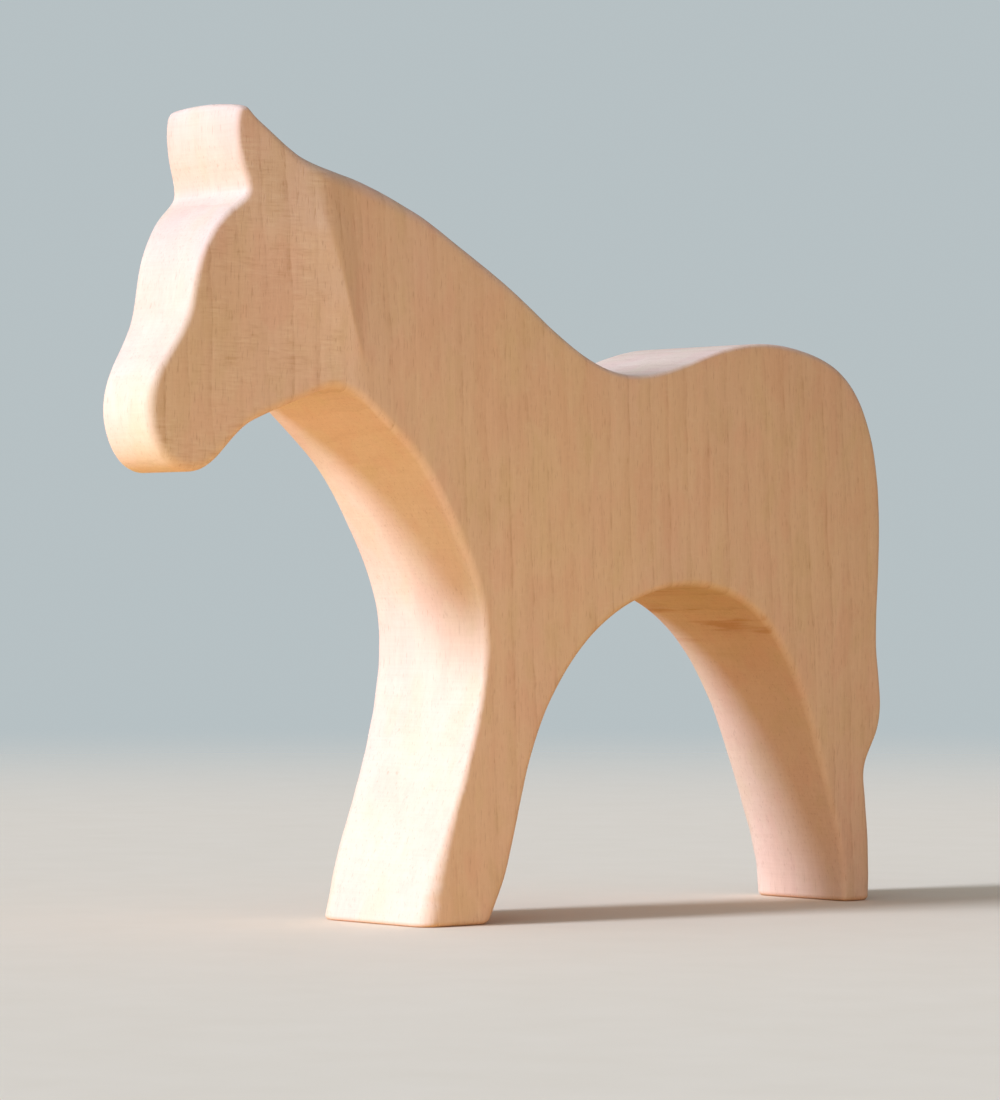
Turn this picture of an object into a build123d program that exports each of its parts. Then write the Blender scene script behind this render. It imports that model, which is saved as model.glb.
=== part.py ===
from build123d import *
import math
import os

# A small toy horse sawn from one board of pale hardwood, with the grain running up and down the legs.
# The horse looks along -Y, its left flank faces +X and +Z is up.
# The origin is on the floor, on the board's middle plane, halfway between nose and tail.
# All lengths are in millimetres and all angles in degrees.

# ---- board and edges ----
board_thickness = 30.0  # the finished board, flank to flank
planing_allowance = 2.0  # extra stock on each flank before it is planed and tapered
half = board_thickness / 2
stock_half = half + planing_allowance
edge_radius = 1.5  # hand-rounded edge all round the sawn profile
sole_radius = 0.8  # eased edge round each foot

# ---- cheeks ----
cheek_angle = 8.73  # each cheek tapers towards the nose by this angle
crease_lean = 6.2  # the neck crease leans towards the nose at its top by this angle
crease_y, crease_z = -45.1, 103.5  # a point on the neck crease, at mid height of the head
# (distance from the middle plane, distance behind the crease), from flat neck to cheek taper
cheek_cove = [
    (half, 12.0), (14.75, 6.0), (14.25, 1.5), (13.3, -2.5),
    (12.2, -7.0), (11.2, -11.5), (10.4, -16.0),
]
taper_length = 40.0  # from the end of the cove to beyond the nose
cheek_waste_width = 9.0  # how far the cheek cutter reaches outside the finished flank
cutter_reach = 160.0  # carries the cheek cutter past the tail, and past the horse up and down

# ---- hind legs ----
arch_top_y = 31.0  # the hind legs are thinned behind this point, below the belly arch
hind_cutter_y = 110.0  # the cutter starts here, behind the tail
hind_waste_width = 3.0  # how far the cutter reaches outside the finished flank
# (height, depth of wood taken off); a negative depth lies outside the flank
hind_left = [(58.0, -0.2), (40.0, 0.25), (20.0, 0.6), (-2.0, 0.95)]
hind_right = [(58.0, -0.3), (51.0, 1.0), (44.0, 2.2), (36.0, 3.0), (20.0, 3.6), (-2.0, 4.1)]

# ---- the sawn profile, as (Y, Z) points ----
# under the belly: back of the front foot, up the leg, over the arch, down the hind leg
belly_arch = [
    (-13.90, 0.00), (-10.21, 8.22), (-7.70, 16.86), (-5.35, 25.57), (-2.10, 33.97), (2.66, 41.61),
    (8.85, 48.15), (15.63, 52.86), (22.43, 55.70), (29.33, 56.99), (36.30, 56.82), (42.43, 55.36),
    (47.35, 53.03), (51.39, 49.90), (55.86, 44.58), (60.27, 36.72), (63.71, 28.40), (66.71, 19.90),
    (69.49, 11.32), (71.11, 2.46), (71.20, 0.00),
]
# the rest: back of the hind foot, tail, rump, saddle, mane, ear, face, muzzle, jaw, throat,
# chest, front foot
back_and_head = [
    (78.10, 0.00), (78.01, 10.06), (76.85, 20.04), (76.61, 23.57), (77.00, 25.35), (79.41, 30.11),
    (80.27, 32.74), (80.49, 36.81), (79.46, 46.79), (79.72, 56.79), (80.16, 66.79), (79.67, 76.84),
    (77.29, 86.53), (74.55, 91.69), (71.80, 94.70), (68.21, 97.01), (61.17, 99.34), (51.17, 100.45),
    (41.23, 99.30), (31.61, 96.37), (21.88, 94.12), (16.05, 94.15), (10.29, 95.74), (1.48, 100.59),
    (-6.80, 106.32), (-15.09, 111.93), (-23.81, 116.96), (-32.90, 121.14), (-42.32, 124.48),
    (-51.64, 128.27), (-62.36, 135.72), (-63.30, 135.95), (-64.30, 135.68), (-65.03, 134.95),
    (-65.29, 134.12), (-65.37, 132.06), (-64.33, 126.33), (-63.07, 122.73), (-63.03, 122.02),
    (-63.26, 121.34), (-63.72, 120.74), (-66.43, 118.38), (-69.34, 114.74), (-71.49, 109.99),
    (-73.74, 100.87), (-76.08, 96.47), (-79.66, 90.39), (-80.44, 87.25), (-80.42, 84.32),
    (-79.71, 81.55), (-78.40, 79.14), (-76.93, 77.54), (-75.39, 76.54), (-73.60, 75.95),
    (-71.92, 75.83), (-70.46, 76.09), (-69.01, 76.78), (-66.64, 78.78), (-61.90, 83.58),
    (-58.99, 85.13), (-49.71, 89.02), (-46.97, 89.95), (-46.04, 89.99), (-45.30, 89.80),
    (-36.89, 84.30), (-29.42, 77.59), (-23.60, 69.45), (-18.78, 60.61), (-16.07, 52.86),
    (-15.60, 45.84), (-17.15, 35.96), (-20.01, 26.32), (-23.55, 16.94), (-27.00, 7.55),
    (-29.10, 0.00),
]

# ---- the body ----
with BuildPart() as horse_body:
    # the profile, sawn square through the plank
    with BuildSketch(Plane.YZ.offset(-stock_half)):
        with BuildLine():
            arch = Spline(*belly_arch)
            Line(arch @ 1, back_and_head[0])  # hind sole
            top = Spline(*back_and_head)
            Line(top @ 1, arch @ 0)  # front sole
        make_face()
    extrude(amount=2 * stock_half)

    # both flanks: flat from tail to neck, then a cove and a straight taper over each cheek
    lean = math.radians(crease_lean)
    slope = math.tan(math.radians(cheek_angle))
    crease_plane = Plane(
        origin=(0, crease_y, crease_z), x_dir=(1, 0, 0), z_dir=(0, -math.sin(lean), math.cos(lean))
    )
    outer_x = half + cheek_waste_width
    with BuildSketch(crease_plane):
        with BuildLine():
            flat = Line((half, cutter_reach), cheek_cove[0])
            cove = Spline(*cheek_cove, tangents=((0, -1), (-slope, -1)))
            taper = Line(cove @ 1, cove @ 1 + Vector(-taper_length * slope, -taper_length, 0))
            Polyline(taper @ 1, (outer_x, (taper @ 1).Y), (outer_x, cutter_reach), flat @ 0)
        make_face()
        mirror(about=Plane.YZ)
    extrude(amount=cutter_reach, both=True, mode=Mode.SUBTRACT)

    # the hind legs, thinned a little from the left flank and more from the right
    outer_x = half + hind_waste_width
    with BuildSketch(Plane(origin=(0, hind_cutter_y, 0), x_dir=(1, 0, 0), z_dir=(0, -1, 0))):
        for side, cut in ((1, hind_left), (-1, hind_right)):
            top_z, bottom_z = cut[0][0], cut[-1][0]
            with BuildLine():
                inner = Spline(*[(side * (half - depth), z) for z, depth in cut])
                Polyline(inner @ 1, (side * outer_x, bottom_z), (side * outer_x, top_z), inner @ 0)
            make_face()
    extrude(amount=hind_cutter_y - arch_top_y, mode=Mode.SUBTRACT)

    # round the long edges between sawn faces and flanks: sawn faces are neither flank nor sole,
    # and edges running straight across the board are left out
    sawn = faces().filter_by(lambda f: abs(f.normal_at().X) < 0.1 and abs(f.normal_at().Z) < 0.9999)
    fillet(sawn.edges().filter_by(lambda e: abs((e % 0.5).X) < 0.99), edge_radius)

    # ease the edges round both soles so the feet don't splinter
    fillet(faces().filter_by(lambda f: abs(f.center().Z) < 0.01).edges(), sole_radius)

horse_body.part.label = "horse_body"
os.makedirs("parts", exist_ok=True)
export_step(horse_body.part, "parts/horse_body.step")
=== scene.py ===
# A toy horse sawn from one maple board, standing on a pale floor.
# The horse looks along -Y, its left flank faces +X and Z points up from the soles.
# It is worked out in millimetres and scaled to metres at the end. The stage is in metres.

import math
import bmesh
import bpy
import numpy as np
from mathutils import Matrix, Vector, noise
from mathutils.geometry import delaunay_2d_cdt


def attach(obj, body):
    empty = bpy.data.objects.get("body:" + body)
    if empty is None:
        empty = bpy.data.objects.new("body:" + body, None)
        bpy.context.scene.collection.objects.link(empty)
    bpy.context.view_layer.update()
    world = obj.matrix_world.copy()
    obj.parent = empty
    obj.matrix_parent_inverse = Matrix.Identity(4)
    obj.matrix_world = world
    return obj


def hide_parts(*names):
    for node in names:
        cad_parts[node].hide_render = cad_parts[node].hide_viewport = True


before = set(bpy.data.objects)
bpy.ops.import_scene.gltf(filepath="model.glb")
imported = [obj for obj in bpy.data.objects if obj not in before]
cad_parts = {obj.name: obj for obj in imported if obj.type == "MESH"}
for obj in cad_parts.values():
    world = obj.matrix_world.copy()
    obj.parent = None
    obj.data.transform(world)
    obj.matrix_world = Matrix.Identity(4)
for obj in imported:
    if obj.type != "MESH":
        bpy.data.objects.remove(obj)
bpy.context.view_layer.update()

MM = 0.001
LEFT, RIGHT = 1, -1    # the sign of X on each flank

# ---- sawn profile, (Y, Z) ----------------------------------------------------------------------
# under the belly, from the back of the front leg to the front of the hind leg
ARCH = [
    (-13.9, 0), (-10.21, 8.22), (-7.7, 16.86), (-5.35, 25.57), (-2.1, 33.97), (2.66, 41.61),
    (8.85, 48.15), (15.63, 52.86), (22.43, 55.7), (29.33, 56.99), (36.3, 56.82), (42.43, 55.36),
    (47.35, 53.03), (51.39, 49.9), (55.86, 44.58), (60.27, 36.72), (63.71, 28.4), (66.71, 19.9),
    (69.49, 11.32), (71.11, 2.46), (71.2, 0),
]
# up the rump, along the back and neck, round the ear and head, and down the chest
BACK = [
    (78.1, 0), (78.01, 10.06), (76.85, 20.04), (76.61, 23.57), (77, 25.35), (79.41, 30.11),
    (80.27, 32.74), (80.49, 36.81), (79.46, 46.79), (79.72, 56.79), (80.16, 66.79),
    (79.67, 76.84), (77.29, 86.53), (74.55, 91.69), (71.8, 94.7), (68.21, 97.01), (61.17, 99.34),
    (51.17, 100.45), (41.23, 99.3), (31.61, 96.37), (21.88, 94.12), (16.05, 94.15),
    (10.29, 95.74), (1.48, 100.59), (-6.8, 106.32), (-15.09, 111.53), (-23.81, 116.41),
    (-28.3, 119.08), (-32.9, 121.44), (-37.59, 123.53), (-42.32, 125.08), (-47.06, 126.13),
    (-51.64, 127.47), (-55.32, 129.77), (-58.75, 132.4), (-61.74, 134.86), (-62.87, 135.81),
    (-63.73, 135.89), (-64.45, 135.69), (-64.91, 135.14), (-65.21, 134.2), (-65.37, 132.06),
    (-64.33, 126.33), (-63.07, 122.73), (-63.03, 122.02), (-63.26, 121.34), (-63.72, 120.74),
    (-66.43, 118.38), (-69.34, 114.74), (-71.49, 109.99), (-73.74, 100.87), (-76.08, 96.47),
    (-79.66, 90.39), (-80.44, 87.25), (-80.42, 84.32), (-79.71, 81.55), (-78.4, 79.14),
    (-76.93, 77.54), (-75.39, 76.54), (-73.6, 75.95), (-71.92, 75.83), (-70.46, 76.09),
    (-69.01, 76.78), (-66.64, 78.78), (-61.9, 83.58), (-58.99, 85.13), (-49.71, 89.02),
    (-46.97, 89.95), (-46.04, 89.99), (-45.3, 89.8), (-36.89, 84.3), (-29.42, 77.59),
    (-23.6, 69.45), (-18.78, 60.61), (-16.07, 52.86), (-15.6, 45.84), (-17.15, 35.96),
    (-20.01, 26.32), (-23.55, 16.94), (-27, 7.55), (-29.1, 0),
]

# edge rounding along the profile: (Y, Z, left edge radius, right edge radius)
ARCH_RADII = [
    (-13.9, 0, 2.4, 2.6), (-7.7, 17, 2.0, 2.4), (-2.1, 34, 1.8, 2.0), (15.6, 52.9, 1.5, 1.7),
    (29.3, 57, 1.3, 1.6), (47.3, 53, 1.4, 1.8), (60.2, 36.8, 1.3, 2.8), (66.7, 20, 1.2, 3.6),
    (70.6, 4.6, 1.2, 4.2), (71.2, 0, 1.2, 4.2),
]
BACK_RADII = [
    (78.1, 0, 2.0, 2.2), (76.9, 19.7, 1.7, 1.9), (80.3, 32.8, 1.4, 1.6), (80.2, 67, 1.8, 2.0),
    (77.3, 86.6, 2.0, 2.2), (68.1, 97.1, 1.5, 1.8), (50.9, 100.5, 0.95, 1.5),
    (31.3, 96.3, 0.8, 1.7), (15.9, 94.2, 1.1, 1.8), (-7, 106.5, 1.8, 1.9),
    (-24, 117.1, 1.9, 2.0), (-33.1, 121.2, 2.4, 2.3), (-42.5, 124.6, 3.2, 2.8),
    (-51.8, 128.4, 2.2, 2.0), (-59.3, 133.7, 1.3, 1.3), (-64.0, 135.9, 1.05, 1.05),
    (-65.3, 132.7, 1.15, 1.15), (-63.1, 122, 1.0, 1.2), (-69.2, 114.9, 1.0, 1.5),
    (-73.7, 101, 1.05, 1.7), (-79.7, 90.4, 1.4, 2.0), (-80.4, 85, 2.0, 2.2),
    (-76.8, 77.5, 2.0, 2.2), (-71.9, 75.7, 1.8, 2.0), (-66.3, 79, 1.6, 1.8),
    (-59, 85.1, 1.4, 1.7), (-46, 90, 1.5, 1.9), (-36.8, 84.3, 1.4, 2.1), (-23.6, 69.4, 1.4, 2.4),
    (-16, 52.8, 1.3, 2.6), (-17.2, 35.9, 1.2, 3.0), (-23.6, 16.9, 1.5, 3.8),
    (-27, 7.5, 2.5, 4.6), (-29.1, 0, 3.8, 5.0),
]

# ---- thickness of the board and its carving ----------------------------------------------------
HALF_BOARD = 15.0
CREASE_Y, CREASE_Z = -45.1, 103.5    # a point on the neck crease
CREASE_LEAN = math.radians(6.2)
TAPER_HALF = 10.07     # half thickness of the cheek taper, TAPER_AT in front of the crease
TAPER_AT = 16.0
TAPER_SLOPE = 0.155
COVE = 23.0            # how far the cheek's cove reaches in front of its crest
CREST_BAND = 9         # how far behind the crest the cheek still shapes the flank
HIND_CUT_Y = (26, 40)  # where the thinning of the hind leg fades in
EAR_THIN = 0.85        # how much the ear is thinned on its right
EAR_THIN_Z = (119, 127)

# Tables over height: the Z stations, then the value at each.
# the crest where the cheek rolls over towards the neck, and the valley behind it: Y
CREST_POINTS = (
    [84, 88.9, 93, 95, 97.1, 100.4, 104.5, 108.6, 112.6, 116.7, 120.8, 127],
    [-40.2, -40.8, -41.6, -42.0, -42.7, -43.7, -45.2, -46.1, -47.4, -48.6, -49.3, -50.2])
VALLEY_POINTS = (
    [84, 88.9, 93, 95, 97.2, 100.5, 104.6, 108.8, 112.9, 117, 121.1, 127],
    [-39.2, -40.1, -41.1, -41.6, -41.8, -41.9, -42.0, -42.2, -42.5, -43.1, -43.3, -43.6])
# the neck's hollow: its depth, its reach behind the valley, and the slope up to the crest
HOLLOW_DEPTH = ([80, 88, 94, 102, 110, 118, 127], [0.15, 0.25, 0.35, 0.75, 1.15, 1.4, 1.4])
HOLLOW_REACH = ([88, 94, 118], [9, 11, 20])
CREST_SLOPE = ([93, 97, 116, 122, 127], [0.0, 0.21, 0.21, 0.13, 0.08])
# how softly the cheek rolls over at the crest
CREST_ROLL = ([90, 94, 97, 104, 109, 113, 118, 127], [0.8, 0.6, 0.2, 0.12, 0.2, 0.5, 0.9, 1.0])
# how much the hind leg is thinned on each flank
HIND_CUT = {
    LEFT: ([-5, 20, 40, 58], [1.0, 0.6, 0.25, 0.0]),
    RIGHT: ([-5, 0, 20, 28, 36, 44, 47.5, 51, 54, 57, 60],
            [4.2, 4.0, 3.6, 3.35, 3.0, 2.2, 1.65, 1.0, 0.45, 0.1, 0.0]),
}
WAVE_SEED = {LEFT: 11.0, RIGHT: 23.0}

# ---- soles and ear tip -------------------------------------------------------------------------
SOLE_ROUND = 0.9       # eased edge round each sole
SOLE_STEPS = 5
LEG_SPARE = 4.0        # how far the legs run on below the floor before they are cut off
EAR_DOME = 0.6         # how far the ear's tip is raised at mid thickness
EAR_DOME_Z = (131, 135.6)
EAR_DOME_HALF = 9.0    # half width of the dome

# ---- mesh density ------------------------------------------------------------------------------
FINE_STEP = 0.04       # sampling of the profile before its points are picked
TURN_STEP = 0.2        # radians the profile may turn between points,
STEP_LIMITS = (0.3, 0.62)  # within these spacings
CREST_STEP = 0.34      # largest spacing where the profile crosses the crest
CREST_NEAR = 4
ARC_STEPS = 7          # across each rounded edge
FLAT_STEPS = 10        # across the sawn face between them
GRID_STEP = 0.9        # triangles on the flanks
GRID_Y = (-84, 84)
GRID_Z = (-3.6, 138)

BOX = np.ones(25)
HANN = np.hanning(27)[1:-1]


def smoothstep(value, start, end):
    ratio = np.clip((np.asarray(value, float) - start) / (end - start), 0, 1)
    return ratio * ratio * (3 - 2 * ratio)


def smooth_min(first, second, roll):
    """The smaller of the two, rounded over where they meet."""
    share = np.clip(0.5 + 0.5 * (second - first) / roll, 0, 1)
    return second * (1 - share) + first * share - roll * share * (1 - share)


def soften(values, kernel, **padding):
    """Running average of the values, weighted by the kernel."""
    padded = np.pad(values, len(kernel) // 2, **padding)
    return np.convolve(padded, kernel / kernel.sum(), "valid")


def ruffle(*place):
    return noise.noise(Vector(place))


def ease(table):
    """The table's curve, sampled finely and rounded at its points."""
    z = np.arange(table[0][0], table[0][-1], 0.25)
    return z, soften(np.interp(z, *table), HANN, mode="reflect", reflect_type="odd")


CREST, VALLEY = ease(CREST_POINTS), ease(VALLEY_POINTS)


# ---- flanks ------------------------------------------------------------------------------------
def taper(y, z):
    """Half thickness of the plain cheek taper, thinner towards the nose."""
    along = (y - CREASE_Y) * math.cos(CREASE_LEAN) + (z - CREASE_Z) * math.sin(CREASE_LEAN)
    return TAPER_HALF + TAPER_SLOPE * (along + TAPER_AT)


def neck(y, z):
    """Half thickness behind the crest: down a narrow slope, then the hollowed flank."""
    reach = np.interp(z, *HOLLOW_REACH)
    past = y - np.interp(z, *VALLEY)
    hollow = np.interp(z, *HOLLOW_DEPTH) * (1 - smoothstep(past, -0.02 * reach, reach))
    slope = np.interp(z, *CREST_SLOPE)
    return HALF_BOARD - hollow + slope * 0.5 * (np.sqrt(past * past + 0.03) - past)


def cheek(y, z):
    """Half thickness in front of the crest: the taper, coving up to meet the neck's edge."""
    edge = np.interp(z, *CREST)
    gap = neck(edge, z) - taper(edge, z)
    ahead = edge - y
    cove = gap * np.clip(1 - ahead / COVE, 0, None) ** 2
    cove = np.where(ahead < 0, gap * (1 - 2 * ahead / COVE), cove)
    return taper(y, z) + cove


def waves(y, z, seed):
    """Slow unevenness of a hand-planed flank, a few hundredths of a millimetre."""
    height = np.empty(len(y))
    for i in range(len(y)):
        height[i] = (0.05 * ruffle(y[i] * 0.045, z[i] * 0.03, seed)
                     + 0.015 * ruffle(y[i] * 0.2, z[i] * 0.09, seed + 5))
    return height


def flank(y, z, side):
    """Half thickness of the horse at (y, z) on one flank."""
    y, z = np.asarray(y, float), np.asarray(z, float)
    rolled = smooth_min(cheek(y, z), neck(y, z), np.interp(z, *CREST_ROLL))
    half = np.where(y - np.interp(z, *CREST) > CREST_BAND, neck(y, z), rolled)
    cut = np.interp(z, *HIND_CUT[side]) * smoothstep(y, *HIND_CUT_Y)
    if side == RIGHT:
        cut = cut + EAR_THIN * smoothstep(z, *EAR_THIN_Z)
    return half - cut + waves(y, z, WAVE_SEED[side])


# ---- profile sampling --------------------------------------------------------------------------
def natural_cubic(points):
    """The natural cubic through the points by chord length, sampled every FINE_STEP."""
    points = np.array(points, float)
    knots = np.r_[0, np.cumsum(np.hypot(*np.diff(points, axis=0).T))]
    count, span = len(points), np.diff(knots)
    system, target = np.zeros((count, count)), np.zeros((count, 2))
    system[0, 0] = system[-1, -1] = 1
    for i in range(1, count - 1):
        system[i, i - 1 : i + 2] = span[i - 1], 2 * (span[i - 1] + span[i]), span[i]
        target[i] = 6 * ((points[i + 1] - points[i]) / span[i]
                         - (points[i] - points[i - 1]) / span[i - 1])
    bend = np.linalg.solve(system, target)    # second derivative at each knot
    at = np.linspace(0, knots[-1], int(knots[-1] / FINE_STEP))
    k = np.clip(np.searchsorted(knots, at, side="right") - 1, 0, count - 2)
    width = span[k][:, None]
    before, after = (at - knots[k])[:, None], (knots[k + 1] - at)[:, None]
    return (
        bend[k] * after**3 / (6 * width) + bend[k + 1] * before**3 / (6 * width)
        + (points[k] / width - bend[k] * width / 6) * after
        + (points[k + 1] / width - bend[k + 1] * width / 6) * before
    )


def sample_outline(points, radii, seed):
    """Points, outward normals and each side's edge radii, closer where the curve is tight."""
    fine = natural_cubic(points)
    # carry both ends straight on below the floor
    start_run, end_run = fine[0] - fine[8], fine[-1] - fine[-9]
    ramp = np.linspace(FINE_STEP, LEG_SPARE, 100)[:, None]
    start = (fine[0] + ramp * (start_run / -start_run[1]))[::-1]
    end = fine[-1] + ramp * (end_run / -end_run[1])
    fine = np.vstack([start, fine, end])

    arc = np.r_[0, np.cumsum(np.hypot(*np.diff(fine, axis=0).T))]
    tangent = np.gradient(fine, arc, axis=0)
    tangent /= np.linalg.norm(tangent, axis=1)[:, None]
    angle = np.unwrap(np.arctan2(tangent[:, 1], tangent[:, 0]))
    curvature = soften(np.abs(np.gradient(angle, arc)), BOX, mode="edge")
    gap = np.clip(TURN_STEP / np.maximum(curvature, 1e-6), *STEP_LIMITS)
    crossing = np.abs(fine[:, 0] - np.interp(fine[:, 1], *CREST)) < CREST_NEAR
    gap = np.where(crossing, np.minimum(gap, CREST_STEP), gap)
    steps = np.r_[0, np.cumsum(np.diff(arc) / gap[1:])]
    at = np.interp(np.linspace(0, steps[-1], int(round(steps[-1]))), steps, arc)

    def pick(pairs):
        return np.stack([np.interp(at, arc, pairs[:, 0]), np.interp(at, arc, pairs[:, 1])], 1)

    place, tangent = pick(fine), pick(tangent)
    tangent /= np.linalg.norm(tangent, axis=1)[:, None]
    normal = np.stack([tangent[:, 1], -tangent[:, 0]], 1)

    marks = [int(np.argmin((fine[:, 0] - y) ** 2 + (fine[:, 1] - z) ** 2))
             for y, z, _, _ in radii]
    edge = {}
    for j, side in enumerate((LEFT, RIGHT)):    # rounded by hand, so never quite even
        radius = np.interp(at, arc[marks], [row[2 + j] for row in radii])
        radius = soften(radius, BOX, mode="edge")
        for i, along in enumerate(at):
            uneven = ruffle(along * 0.075, seed + 7.3 * j, 2.1) * 0.16
            uneven += ruffle(along * 0.28, seed + 3.1 * j, 8.4) * 0.06
            # torn fibres down the left edge of the front leg's front
            if side == LEFT and place[i][0] < -15 and 4 < place[i][1] < 48:
                uneven += (ruffle(along * 0.9, seed, 3.3) * 0.30
                           + ruffle(along * 0.35, seed, 6.1) * 0.15)
            radius[i] *= 1 + uneven
        edge[side] = radius
    return place, normal, edge


# ---- flank triangulation -----------------------------------------------------------------------
def inside(points, loop):
    """Which points lie inside the closed loop."""
    y, z = points[:, 0], points[:, 1]
    hit = np.zeros(len(points), bool)
    for start, end in zip(loop, np.roll(loop, -1, axis=0)):
        if start[1] != end[1]:
            meet = (end[0] - start[0]) * (z - start[1]) / (end[1] - start[1]) + start[0]
            hit ^= ((start[1] > z) != (end[1] > z)) & (y < meet)
    return hit


def clear_of(points, others, gap):
    """Which points are farther than gap from every one of the others."""
    keep = np.ones(len(points), bool)
    block = 2000
    for i in range(0, len(points), block):
        offsets = points[i : i + block, None] - others[None]
        keep[i : i + block] = (offsets**2).sum(2).min(1) > gap * gap
    return keep


def crest_points():
    """Rows of points that follow the crest and the valley, so that the edge is crisp."""
    z = np.arange(86, 126, 0.4)
    crest = np.stack([np.interp(z, *CREST), z], 1)
    valley = np.stack([np.interp(z, *VALLEY), z], 1)[z > 103]
    rows = [crest + [offset, 0] for offset in (0, -0.22, 0.22, -0.5, 0.5, -0.95, 0.95, -1.6)]
    rows += [valley + [offset, 0] for offset in (-0.8, -0.35, 0, 0.35, 0.8)]
    return np.vstack(rows)


def flank_fill(loop, crest):
    """The points to add inside a flank's loop: the crest's rows, then a triangular grid."""
    ys = np.arange(*GRID_Y, GRID_STEP)
    zs = np.arange(*GRID_Z, GRID_STEP * math.sqrt(3) / 2)
    grid = np.array([(y + (GRID_STEP / 2 if j % 2 else 0), z)
                     for j, z in enumerate(zs) for y in ys])
    grid = grid[inside(grid, loop)]
    own = crest[inside(crest, loop)]
    own = own[clear_of(own, loop, 0.3)]
    grid = grid[clear_of(grid, loop, 0.55)]
    grid = grid[clear_of(grid, own, 0.5)]
    return np.vstack([own, grid])


# ---- horse -------------------------------------------------------------------------------------
def build_mesh():
    arch, arch_normal, arch_edge = sample_outline(ARCH, ARCH_RADII, seed=1.7)
    back, back_normal, back_edge = sample_outline(BACK, BACK_RADII, seed=41.9)
    place, normal = np.vstack([arch, back]), np.vstack([arch_normal, back_normal])
    verts, faces = [], []

    def put(y, z, x):
        """Adds vertices and gives their numbers."""
        start = len(verts)
        verts.extend(zip(x, y, z))
        return np.arange(start, start + len(y))

    # rounded edges, from the flank out to the sawn face
    stretch = 1 + 0.9 * smoothstep(place[:, 1], 124, 132)    # the ear is rounded further in X
    rings, rims, edge_x = {}, {}, {}
    for side in (LEFT, RIGHT):
        radius = np.r_[arch_edge[side], back_edge[side]]
        edge_x[side] = side * (flank(place[:, 0], place[:, 1], side) - stretch * radius)
        rings[side] = []
        for k in range(ARC_STEPS + 1):
            turn = math.pi / 2 * k / ARC_STEPS
            spot = place - normal * (radius * (1 - math.sin(turn)))[:, None]
            x = flank(spot[:, 0], spot[:, 1], side) - stretch * radius * (1 - math.cos(turn))
            rings[side].append(put(spot[:, 0], spot[:, 1], side * x))
            if k == 0:
                rims[side] = spot

    # the sawn face between the rounded edges
    columns = list(rings[LEFT])
    for k in range(1, FLAT_STEPS):
        share = k / FLAT_STEPS
        x = edge_x[LEFT] * (1 - share) + edge_x[RIGHT] * share
        columns.append(put(place[:, 0], place[:, 1], x))
    columns += rings[RIGHT][::-1]
    for here, there in zip(columns[:-1], columns[1:]):
        for first, last in ((0, len(arch) - 1), (len(arch), len(place) - 1)):
            for i in range(first, last):
                faces.append((here[i], there[i], there[i + 1], here[i + 1]))

    crest = crest_points()
    for side in (LEFT, RIGHT):
        loop, loop_ids = rims[side], rings[side][0]
        size = len(loop)
        flat = [Vector(point) for point in np.vstack([loop, flank_fill(loop, crest)])]
        spots, _, triangles, origins, _, _ = delaunay_2d_cdt(
            flat, [], [list(range(size))], 1, 1e-7)
        sources = [min(origin) if origin else size for origin in origins]
        index = {i: loop_ids[source] for i, source in enumerate(sources) if source < size}
        added = [i for i, source in enumerate(sources) if source >= size]
        spot = np.array([spots[i] for i in added])
        x = side * flank(spot[:, 0], spot[:, 1], side)
        index.update(zip(added, put(spot[:, 0], spot[:, 1], x)))
        for triangle in triangles:
            faces.append(tuple([index[i] for i in triangle][::side]))

    mesh = bpy.data.meshes.new("carved_horse")
    mesh.from_pydata([Vector(vert) for vert in verts], [],
                     [tuple(int(i) for i in face) for face in faces])
    return mesh


def slice_level(bm, z, dist, **options):
    bmesh.ops.bisect_plane(bm, geom=list(bm.verts) + list(bm.edges) + list(bm.faces), dist=dist,
                           plane_co=(0, 0, z), plane_no=(0, 0, 1), **options)


def ease_soles(bm):
    """Draws the legs in to a rounded edge just above the floor."""
    for k in range(1, SOLE_STEPS + 1):
        slice_level(bm, SOLE_ROUND * (1 - math.cos(math.pi / 2 * k / SOLE_STEPS)), dist=1e-4)
    bm.normal_update()
    moves = []
    for vert in bm.verts:
        if vert.co.z < SOLE_ROUND - 1e-4:
            size = math.hypot(vert.normal.x, vert.normal.y)
            if size > 1e-6:
                drop = SOLE_ROUND - max(vert.co.z, 0.0)
                pull = SOLE_ROUND - math.sqrt(max(SOLE_ROUND**2 - drop**2, 0.0))
                moves.append((vert, vert.normal.x / size * pull, vert.normal.y / size * pull))
    for vert, pull_x, pull_y in moves:
        vert.co.x -= pull_x
        vert.co.y -= pull_y
        if vert.co.z < 1e-3:
            vert.co.z = 0.0


def finish_mesh(mesh):
    """Cuts the legs off at the floor, eases and closes the soles, and scales to metres."""
    bm = bmesh.new()
    bm.from_mesh(mesh)
    bmesh.ops.remove_doubles(bm, verts=bm.verts, dist=1e-4)
    bmesh.ops.recalc_face_normals(bm, faces=bm.faces)
    slice_level(bm, 0, dist=1e-5, clear_inner=True)
    ease_soles(bm)
    for vert in bm.verts:    # the ear's tip is domed across the board
        if vert.co.z > EAR_DOME_Z[0]:
            rise = EAR_DOME * float(smoothstep(vert.co.z, *EAR_DOME_Z))
            vert.co.z += rise * max(0.0, 1 - (vert.co.x / EAR_DOME_HALF) ** 2)
    rim = [edge for edge in bm.edges if edge.is_boundary]
    bmesh.ops.triangle_fill(bm, use_beauty=True, use_dissolve=False, edges=rim)
    bmesh.ops.triangulate(bm, faces=[face for face in bm.faces if len(face.verts) > 4])
    bmesh.ops.recalc_face_normals(bm, faces=bm.faces)
    bm.transform(Matrix.Diagonal((MM, MM, MM, 1)))
    for face in bm.faces:
        face.smooth = True
    bm.to_mesh(mesh)
    bm.free()


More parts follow.
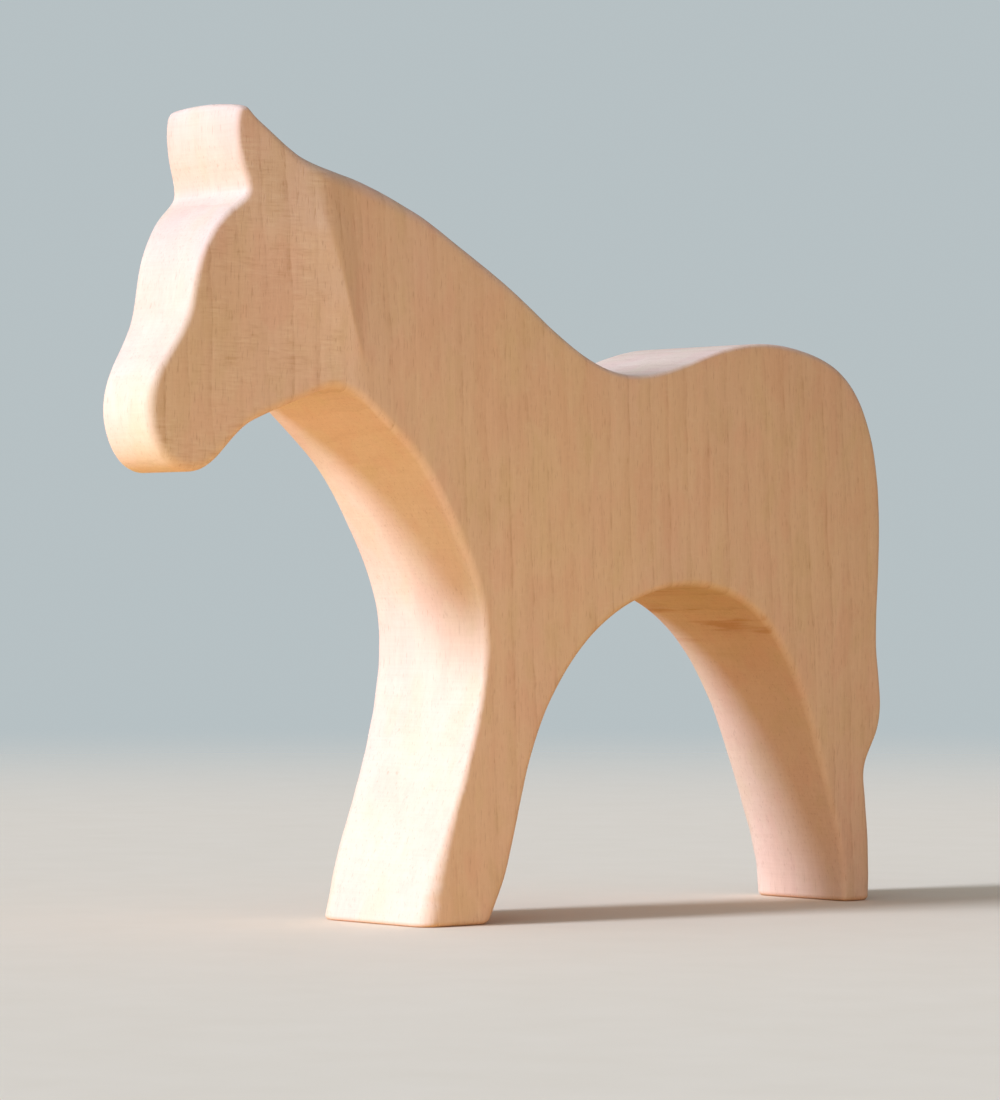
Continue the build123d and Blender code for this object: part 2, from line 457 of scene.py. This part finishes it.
def add_object(name, data):
    obj = bpy.data.objects.new(name, data)
    bpy.context.scene.collection.objects.link(obj)
    return obj


horse_mesh = build_mesh()
finish_mesh(horse_mesh)
horse = add_object("carved_horse", horse_mesh)
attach(horse, "root")
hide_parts("horse_body")


# ---- shader helpers ----------------------------------------------------------------------------
def operation(kind, swapped=False):
    def apply(self, *others):
        operands = (*others, self) if swapped else (self, *others)
        return self.nodes.math(kind, *operands)

    return apply


class Value:
    """A node's output. Arithmetic on it adds Math nodes."""

    def __init__(self, nodes, socket):
        self.nodes, self.socket = nodes, socket

    __add__, __radd__ = operation("ADD"), operation("ADD", swapped=True)
    __sub__, __rsub__ = operation("SUBTRACT"), operation("SUBTRACT", swapped=True)
    __mul__, __truediv__ = operation("MULTIPLY"), operation("DIVIDE")
    __pow__, __abs__, __floor__ = operation("POWER"), operation("ABSOLUTE"), operation("FLOOR")


class Nodes:
    """Builds a shader node tree from nothing."""

    def __init__(self, owner):
        owner.use_nodes = True
        self.tree = owner.node_tree
        self.tree.nodes.clear()

    def new(self, kind, inputs=None, **settings):
        """A node with its settings made and its inputs set, or linked where they are Values."""
        node = self.tree.nodes.new(kind)
        for key, value in settings.items():
            setattr(node, key, value)
        for key, value in (inputs or {}).items():
            if isinstance(value, Value):
                self.tree.links.new(value.socket, node.inputs[key])
            else:
                node.inputs[key].default_value = value
        return node

    def value(self, kind, inputs=None, output=0, **settings):
        return Value(self, self.new(kind, inputs, **settings).outputs[output])

    def split(self, vector):
        node = self.new("ShaderNodeSeparateXYZ", {0: vector})
        return [Value(self, socket) for socket in node.outputs]

    def math(self, kind, *operands, clamp=False):
        inputs = dict(enumerate(operands))
        return self.value("ShaderNodeMath", inputs, operation=kind, use_clamp=clamp)

    def vector(self, kind, *operands, output=0):
        inputs = dict(enumerate(operands))
        return self.value("ShaderNodeVectorMath", inputs, output, operation=kind)

    def ramp(self, value, span, to=(0.0, 1.0), smooth=False):
        """The value, carried from the span to the range `to` and held there beyond it."""
        inputs = {"Value": value, "From Min": span[0], "From Max": span[1],
                  "To Min": to[0], "To Max": to[1]}
        return self.value("ShaderNodeMapRange", inputs,
                          interpolation_type="SMOOTHSTEP" if smooth else "LINEAR")

    def noise(self, vector, detail, rough):
        inputs = {"Vector": vector, "Scale": 1.0, "Detail": detail, "Roughness": rough}
        return self.value("ShaderNodeTexNoise", inputs, "Fac")

    def stretch(self, vector, scale, offset=(0, 0, 0)):
        return self.vector("MULTIPLY_ADD", vector, scale, offset)

    def tint(self, base, amount, colour, strength=None, kind="MULTIPLY"):
        """The base, multiplied by or mixed with the colour by amount times strength."""
        if strength is not None:
            amount = amount * strength
        base, colour = (part if isinstance(part, Value) else (*part, 1)
                        for part in (base, colour))
        return self.value("ShaderNodeMix", {0: amount, 6: base, 7: colour}, 2,
                          data_type="RGBA", blend_type=kind)

    def mix_shaders(self, amount, first, second):
        return self.value("ShaderNodeMixShader", {0: amount, 1: first, 2: second})


# ---- maple -------------------------------------------------------------------------------------
# noises in the wood: (frequency per mm along X, Y and Z), (offset), detail, roughness
NOISES = {
    "slow": ((0.02, 0.035, 0.012), (0, 0, 0), 2.0, 0.5),
    "drift": ((0.05, 0.16, 0.03), (31, 7, 3), 2.0, 0.5),
    "wander": ((0.3, 0.55, 0.13), (17, 23, 5), 2.0, 0.6),
    "break": ((2.4, 2.0, 0.9), (2, 8, 1), 2.0, 0.6),
    "fibre": ((1.3, 1.3, 0.055), (1, 2, 3), 4.0, 0.7),
    "hair": ((7.5, 7.5, 0.35), (9, 4, 6), 2.0, 0.6),
    "fleck": ((3.4, 3.4, 0.45), (3, 5, 7), 1.0, 0.5),
    "rays": ((6.0, 0.55, 1.5), (8, 1, 2), 2.0, 0.55),
    "patch": ((0.03, 0.045, 0.022), (4, 4, 4), 2.0, 0.5),
    "blotch": ((0.12, 0.17, 0.06), (6, 2, 5), 3.0, 0.6),
    "rosy": ((0.14, 0.16, 0.075), (12, 3, 9), 2.0, 0.55),
    "pores": ((9.0, 9.0, 0.8), (2, 2, 2), 1.0, 0.5),
    "level": ((0.4, 0.20, 1.5), (7, 7, 2), 2.0, 0.6),
    "level_fine": ((0.8, 0.5, 3.1), (3, 1, 8), 1.0, 0.5),
    "patchy": ((0.1, 0.16, 0.13), (2, 6, 6), 1.0, 0.5),
    "streak": ((0.045, 0.50, 0.50), (5, 5, 1), 2.0, 0.55),
    "streak_fine": ((0.09, 2.6, 2.6), (1, 5, 5), 2.0, 0.6),
}
MAIN_PERIOD, MAIN_SHIFT = 4.75, 1.3    # spacing and offset of the strongest growth rings, mm


def crest_slope(n, y, z):
    """1 on the narrow slope behind each cheek's crest. Its edges are curves Y over Z, in mm."""
    up = z - 95.0
    crest = up * -0.36 + up * up * 0.0032
    past = y + 42.0 - crest
    softness = 0.35 + n.math("MAXIMUM", z - 105.0, 0.0) * 0.14    # blurs towards the poll
    past = n.ramp(past / softness, span=(-0.7, 1.0), smooth=True)
    before = (z - 97.0) * -0.06 - (y + 41.75)
    return past * n.ramp(before, span=(-0.12, 0.22), smooth=True)


def maple():
    mat = bpy.data.materials.new("maple")
    n = Nodes(mat)
    place = n.stretch(n.value("ShaderNodeTexCoord", output="Object"), (1000, 1000, 1000))
    x, y, z = n.split(place)
    normal = n.split(n.value("ShaderNodeNewGeometry", output="Normal"))
    side_face = n.ramp(abs(normal[0]), span=(0.6, 0.95), smooth=True)
    end_face = n.ramp(abs(normal[2]), span=(0.35, 0.95), smooth=True)
    flat_sawn = n.ramp(abs(normal[1]), span=(0.45, 0.85), smooth=True)
    sawn_face = n.math("SUBTRACT", 1.0, side_face, clamp=True)

    def grain(name):
        scale, offset, detail, rough = NOISES[name]
        return n.noise(n.stretch(place, scale, offset), detail, rough)

    # growth rings: nearly flat sheets across the length, leaning a little, slightly bent by
    # the log, and swayed by three noises (amounts in mm)
    slow, drift = grain("slow"), grain("drift")
    ring = y + z * 0.049 + (x + 6.0) ** 2.0 * 0.0016
    ring = ring + (slow - 0.5) * 5.0 + (drift - 0.5) * 1.6
    ring = ring + (grain("wander") - 0.5) * 1.5

    def ring_count(period, shift):
        return (ring + shift) / period

    def lines(period, shift, sharp, seed, dash):
        """Thin latewood lines: a soft rise, then a crisp end, each with its own strength."""
        count = ring_count(period, shift)
        whole = math.floor(count)
        part = count - whole
        body = part**sharp
        end = n.ramp(part, span=(0.97, 1.0), to=(1.0, 0.0))
        white = n.value("ShaderNodeTexWhiteNoise", {"W": whole + seed}, "Value",
                        noise_dimensions="1D")
        own = n.ramp(white, span=(0.0, 1.0), to=(0.45, 1.0))
        # each ring breaks up into its own dashes: the factors are frequencies
        spot = n.value("ShaderNodeCombineXYZ",
                       {0: x * 0.12, 1: (whole + seed) * 7.31, 2: z * dash})
        gaps = n.ramp(n.noise(spot, detail=2.5, rough=0.7), span=(0.44, 0.62), to=(0.05, 1.0),
                      smooth=True)
        return (body * end) * (own * gaps)

    fine_break = n.ramp(grain("break"), span=(0.3, 0.6), to=(0.5, 1.0))
    main = lines(MAIN_PERIOD, MAIN_SHIFT, sharp=11.0, seed=17.0, dash=0.17)
    minor = lines(2.31, shift=0.6, sharp=6.0, seed=51.0, dash=0.26)
    faint = lines(1.13, shift=0.2, sharp=3.0, seed=83.0, dash=0.34)
    # the weight of each set of lines; they all fade on faces that look along Y
    latewood = main * 1.0 + minor * 0.55 + faint * 0.30
    latewood = n.math("MULTIPLY", latewood, fine_break, clamp=True)
    latewood = latewood * (1.0 - flat_sawn * 0.8)
    # a faint band of darker wood leading up to each ring line
    tone = (ring_count(MAIN_PERIOD, MAIN_SHIFT)
            - math.floor(ring_count(MAIN_PERIOD, MAIN_SHIFT)))
    tone = tone**2.0 * n.ramp(drift, span=(0.3, 0.7))
    tone = tone * (1.0 - flat_sawn * 0.85)

    # long fibres, short dark flecks, and small pale ray flecks
    fibre, hair = grain("fibre"), grain("hair")
    fleck = n.ramp(grain("fleck"), span=(0.62, 0.74))
    rays = n.ramp(grain("rays"), span=(0.56, 0.72))
    patch, blotch = grain("patch"), grain("blotch")

    colour = n.tint((0.82, 0.588, 0.452), n.ramp(patch, span=(0.34, 0.66)),
                    (0.82, 0.606, 0.428), kind="MIX")
    rosy = grain("rosy")
    colour = n.tint(colour, n.ramp(rosy, span=(0.48, 0.62), smooth=True), (1.0, 0.955, 0.965))
    colour = n.tint(colour, n.ramp(rosy, span=(0.46, 0.34), smooth=True), (0.97, 0.985, 0.94))
    colour = n.tint(colour, n.ramp(blotch, span=(0.3, 0.7), to=(0.0, 0.5)), (0.93, 0.895, 0.86))
    colour = n.tint(colour, tone, (0.90, 0.84, 0.78), strength=0.55)
    colour = n.tint(colour, n.ramp(fibre, span=(0.32, 0.68), to=(0.0, 0.48)),
                    (0.90, 0.865, 0.83))
    colour = n.tint(colour, n.ramp(hair, span=(0.35, 0.7), to=(0.0, 0.28)), (0.90, 0.86, 0.82))
    colour = n.tint(colour, fleck, (0.68, 0.55, 0.47), strength=0.38)
    colour = n.tint(colour, latewood, (0.65, 0.52, 0.43), strength=0.60)
    colour = n.tint(colour, rays * side_face, (0.90, 0.76, 0.62), strength=0.10, kind="MIX")

    # end grain drinks more light: warmer and a little darker, with a fine open texture
    pores = n.ramp(grain("pores"), span=(0.55, 0.75))
    colour = n.tint(colour, end_face, (0.93, 0.88, 0.82), strength=0.18)
    colour = n.tint(colour, pores * end_face, (0.70, 0.60, 0.50), strength=0.22)

    # the cheeks were tapered with the blade running across the grain: fine level marks
    # in front of the crease; the factors are the crease's direction
    along = (y + -CREASE_Y) * 0.994 + (z - CREASE_Z) * 0.108
    on_cheek = n.ramp(along, span=(-0.9, -1.7)) * side_face
    level, level_fine = grain("level"), grain("level_fine")
    patchy = n.ramp(grain("patchy"), span=(0.40, 0.62), to=(0.25, 1.0))
    marks = level * 0.65 + level_fine * 0.35    # weights of broad and fine marks
    on_cheek = on_cheek * patchy
    dark_marks = n.ramp(marks, span=(0.52, 0.66)) * on_cheek
    colour = n.tint(colour, dark_marks, (0.86, 0.78, 0.70), strength=0.66)
    pale_marks = n.ramp(marks, span=(0.48, 0.36)) * on_cheek
    colour = n.tint(colour, pale_marks, (0.93, 0.78, 0.62), strength=0.22, kind="MIX")

    # painted shade on the narrow crease behind each crest, which faces away from the light: the
    # slope is coloured darker
    slope = crest_slope(n, y, z) * (side_face * n.ramp(z, span=(93.5, 97.0)))
    slope = slope * n.ramp(blotch, span=(0.25, 0.75), to=(0.8, 1.0))
    colour = n.tint(colour, slope, (0.935, 0.91, 0.885))

    # the saw left streaks across the thickness, scorched a little under the belly at Y 43
    streak, streak_fine = grain("streak"), grain("streak_fine")
    under = n.ramp(abs(y - 43.0), span=(19.0, 9.0)) * n.ramp(normal[2], span=(-0.1, -0.7))
    scorch = (n.ramp(streak, span=(0.56, 0.70), smooth=True)
              * (under * n.ramp(z, span=(40.0, 50.0))))
    colour = n.tint(colour, scorch, (0.80, 0.62, 0.44), strength=0.75)
    across = n.ramp(streak_fine, span=(0.35, 0.70)) * sawn_face
    colour = n.tint(colour, across, (0.90, 0.84, 0.78), strength=0.28)

    # base roughness, then what each feature adds to it
    rough = 0.56 + fibre * 0.14 + latewood * -0.06
    rough = n.math("ADD", rough, end_face * 0.08, clamp=True)

    # relief: how far each feature stands up, in mm
    height = fibre * 0.022 + hair * 0.010 + fleck * -0.018 + latewood * 0.012
    height = height + marks * on_cheek * 0.03 + streak_fine * sawn_face * 0.02
    height = height + pores * end_face * -0.015
    bump = n.value("ShaderNodeBump", {"Strength": 0.8, "Distance": MM, "Height": height})

    shader = n.value("ShaderNodeBsdfPrincipled", {
        "Base Color": colour, "Roughness": rough, "Normal": bump, "Specular IOR Level": 0.32})
    n.new("ShaderNodeOutputMaterial", {"Surface": shader})
    return mat


horse_mesh.materials.append(maple())


# ---- floor -------------------------------------------------------------------------------------
def floor_material():
    """Pale near the horse, and fading into the backdrop for the camera only."""
    mat = bpy.data.materials.new("pale_floor")
    n = Nodes(mat)
    place = n.value("ShaderNodeTexCoord", output="Object")
    fade = n.ramp(n.vector("LENGTH", place, output="Value"), span=(0.30, 1.1), smooth=True)
    speckle = n.noise(n.stretch(place, (60, 60, 60)), detail=4.0, rough=0.6)
    colour = n.tint((0.83, 0.66, 0.46), n.ramp(speckle, span=(0.3, 0.7)),
                    (0.85, 0.68, 0.48), kind="MIX")
    camera_ray = n.value("ShaderNodeLightPath", output="Is Camera Ray")
    bounce = (0.79, 0.43, 0.12)    # what the floor throws back is warmer
    colour = n.tint(bounce, camera_ray, colour, kind="MIX")
    shader = n.value("ShaderNodeBsdfPrincipled", {
        "Base Color": colour, "Roughness": 0.8, "Specular IOR Level": 0.1})
    clear = n.value("ShaderNodeBsdfTransparent")
    surface = n.mix_shaders(fade * camera_ray, shader, clear)
    n.new("ShaderNodeOutputMaterial", {"Surface": surface})
    return mat


def build_floor():
    bm = bmesh.new()
    bmesh.ops.create_grid(bm, x_segments=8, y_segments=8, size=3.0)
    mesh = bpy.data.meshes.new("floor")
    bm.to_mesh(mesh)
    bm.free()
    floor = add_object("floor", mesh)
    mesh.materials.append(floor_material())
    return floor


build_floor()

# ---- world -------------------------------------------------------------------------------------
BACKDROP = (0.47, 0.53, 0.55, 1)
WARM, COOL = (0.90, 0.78, 0.84), (0.76, 0.91, 1.13)
# soft light: (direction it comes from), strength, colour
LOBES = [
    ((0.78, -0.05, 0.62), 0.22, WARM),
    ((-1, 0, 0), 0.02, WARM),
    ((0, 1, 0), 0.25, COOL),
    ((0, -1, 0), 0.0, WARM),
    ((-0.25, -0.45, 0.857), 0.95, COOL),
    ((0, -0.8, 0.6), 0.03, COOL),
]


def build_world():
    """Soft lobes light the scene, and the camera sees a plain backdrop."""
    world = bpy.data.worlds.new("studio")
    bpy.context.scene.world = world
    n = Nodes(world)
    toward = n.value("ShaderNodeTexCoord", output="Generated")
    glow = None
    for direction, strength, colour in LOBES:
        # each lobe fades to nothing at right angles to its direction
        facing = n.vector("DOT_PRODUCT", toward, direction, output="Value")
        amount = n.math("MAXIMUM", facing, 0.0) ** 2.0 * strength
        lobe = n.value("ShaderNodeVectorMath", {0: colour, "Scale": amount}, operation="SCALE")
        glow = n.vector("ADD", glow, lobe) if glow else lobe
    soft = n.value("ShaderNodeBackground", {"Color": glow})
    seen = n.value("ShaderNodeBackground", {"Color": BACKDROP})
    camera_ray = n.value("ShaderNodeLightPath", output="Is Camera Ray")
    n.new("ShaderNodeOutputWorld", {"Surface": n.mix_shaders(camera_ray, soft, seen)})


build_world()


# ---- lights and camera -------------------------------------------------------------------------
def add_aimed(name, data, location, aim, settings):
    """An object that looks along the aim, with the settings made on its data."""
    for key, value in settings.items():
        setattr(data, key, value)
    obj = add_object(name, data)
    obj.location = location
    obj.rotation_mode = "QUATERNION"
    obj.rotation_quaternion = Vector(aim).to_track_quat("-Z", "Y")
    return obj


def add_light(name, kind, location, aim, **settings):
    return add_aimed(name, bpy.data.lights.new(name, kind), location, aim, settings)


# a warm reflector near the floor, in front of the chest
card = add_light("card", "AREA", location=(-0.02, -0.155, 0.006), aim=(0.02, 0.10, 0.085),
                 shape="RECTANGLE", size=0.10, size_y=0.10, energy=0.12,
                 color=(1.0, 0.85, 0.62))
# a soft light beside the forequarters, fading towards the rump
fill = add_light("side_fill", "AREA", location=(0.21, -0.048, 0.014), aim=(-0.20, 0.01, -0.03),
                 shape="SQUARE", size=0.12, energy=0.205, color=(1.0, 0.83, 0.63))

# both small lights reach the horse only, so they leave no pools of light on the floor
lit = bpy.data.collections.new("lit_by_cards")
lit.objects.link(horse)
for lamp in (card, fill):
    lamp.visible_camera = False
    lamp.light_linking.receiver_collection = lit

KEY_DROP = math.radians(25)    # how steeply the key light falls
KEY_TURN = math.radians(12)    # how far it travels towards +X, from +Y
key_travel = (math.sin(KEY_TURN) * math.cos(KEY_DROP), math.cos(KEY_TURN) * math.cos(KEY_DROP),
              -math.sin(KEY_DROP))
add_light("key", "SUN", location=(0, 0, 0), aim=key_travel, energy=4.0,
          color=(0.74, 0.93, 1.32), angle=math.radians(15.0))

scene = bpy.context.scene
scene.camera = add_aimed(
    "camera", bpy.data.cameras.new("camera"),
    location=(0.61239, -0.53171, 0.05740), aim=(-0.7547, 0.6560, 0.0075),
    settings=dict(lens=152.84, sensor_width=36.0, sensor_fit="AUTO", clip_start=0.01,
                  clip_end=20.0))
scene.view_settings.view_transform = "Standard"
scene.view_settings.look = "None"
